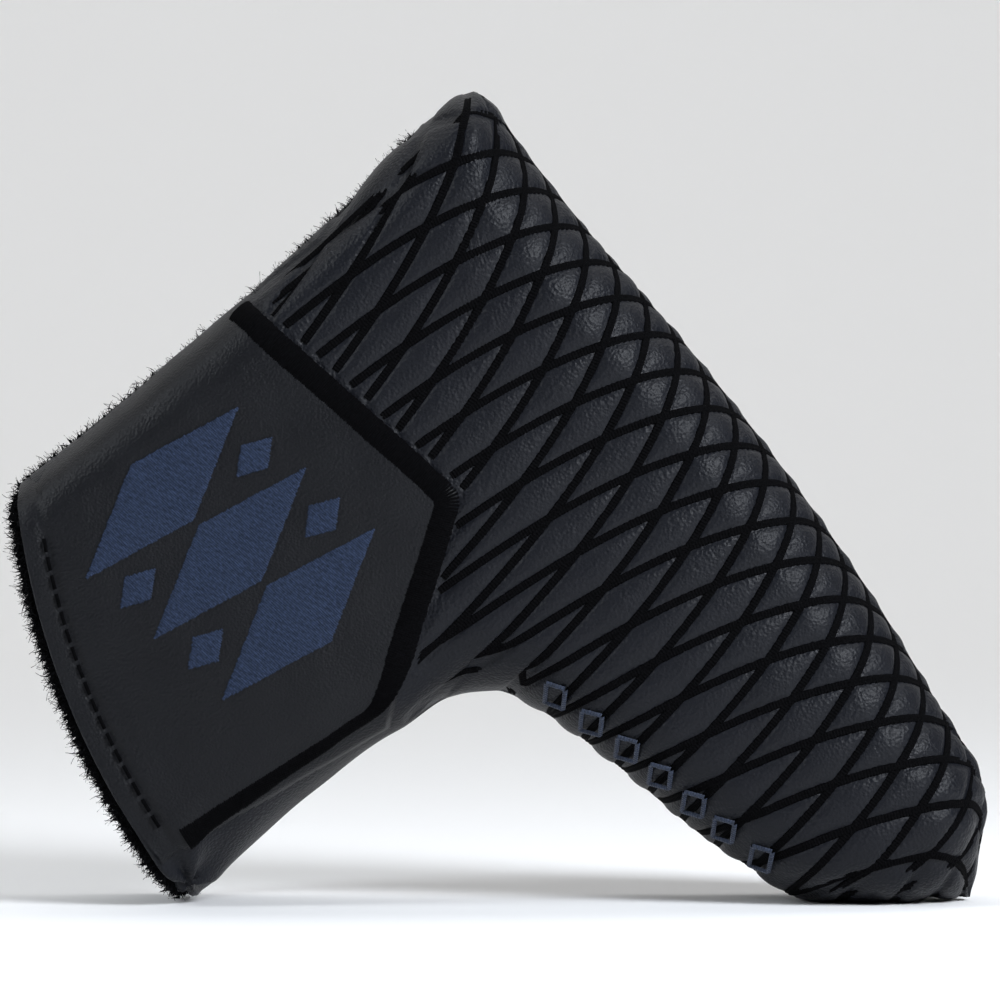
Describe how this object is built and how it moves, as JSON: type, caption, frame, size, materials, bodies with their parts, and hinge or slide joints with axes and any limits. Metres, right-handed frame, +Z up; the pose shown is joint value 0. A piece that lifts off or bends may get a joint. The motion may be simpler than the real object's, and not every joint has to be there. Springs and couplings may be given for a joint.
{
  "type": "putter head cover",
  "caption": "Padded L-shaped cover for a blade putter head, quilted black leather with a stitched patch, blue embroidery and two opening flaps at the mouth.",
  "frame": {"origin": "centre of the base of the bounding box, with the cover standing on its toe and the tip of its neck", "axes": "+X towards the toe side, +Z up, -Y out of the face with the patch"},
  "size_m": [0.19, 0.0432, 0.159],
  "materials": {
    "shell_leather": "fine pebble grain, satin",
    "patch_leather": "smooth fine grain, satin",
    "binding_leather": "smooth, satin",
    "black_thread": "satin stitch thread, matte",
    "blue_thread": "satin stitch thread, soft sheen",
    "plush_lining": "short curly pile",
    "foam": "open cell foam",
    "pocket_cloth": "woven cloth",
    "magnet": "nickel plated"
  },
  "bodies": {
    "cover": {"front_shell_leather": "shell_leather", "front_shell_foam": "foam", "front_shell_lining": "plush_lining", "back_shell_leather": "shell_leather", "back_shell_foam": "foam", "back_shell_lining": "plush_lining", "front_quilting_threads": "black_thread", "back_quilting_threads": "black_thread", "patch_leather": "patch_leather", "patch_border_stitching": "black_thread", "emblem_embroidery": "blue_thread", "edge_mark_embroidery": "blue_thread"},
    "front_flap": {"front_flap_leather": "shell_leather", "front_flap_foam": "foam", "front_flap_lining": "plush_lining", "front_upper_magnet": "magnet", "front_lower_magnet": "magnet", "front_magnet_pocket": "pocket_cloth", "front_lip_binding": "binding_leather", "front_mouth_topstitch": "black_thread", "front_flap_quilting_threads": "black_thread", "patch_flap_leather": "patch_leather", "patch_flap_border_stitching": "black_thread", "emblem_flap_embroidery": "blue_thread"},
    "back_flap": {"back_flap_leather": "shell_leather", "back_flap_foam": "foam", "back_flap_lining": "plush_lining", "back_upper_magnet": "magnet", "back_lower_magnet": "magnet", "back_magnet_pocket": "pocket_cloth", "back_lip_binding": "binding_leather", "back_mouth_topstitch": "black_thread", "back_flap_quilting_threads": "black_thread"}
  },
  "joints": [
    {"name": "front_flap_fold", "type": "hinge", "parent": "cover", "child": "front_flap", "pos_m": [-0.04478, -0.02162, 0.08052], "axis": [0.377, 0, 0.9262], "range_deg": [0, 45], "stiffness_Nm_per_rad": 0.15},
    {"name": "back_flap_fold", "type": "hinge", "parent": "cover", "child": "back_flap", "pos_m": [-0.04478, 0.02063, 0.08052], "axis": [-0.377, 0, -0.9262], "range_deg": [0, 45], "stiffness_Nm_per_rad": 0.15}
  ]
}
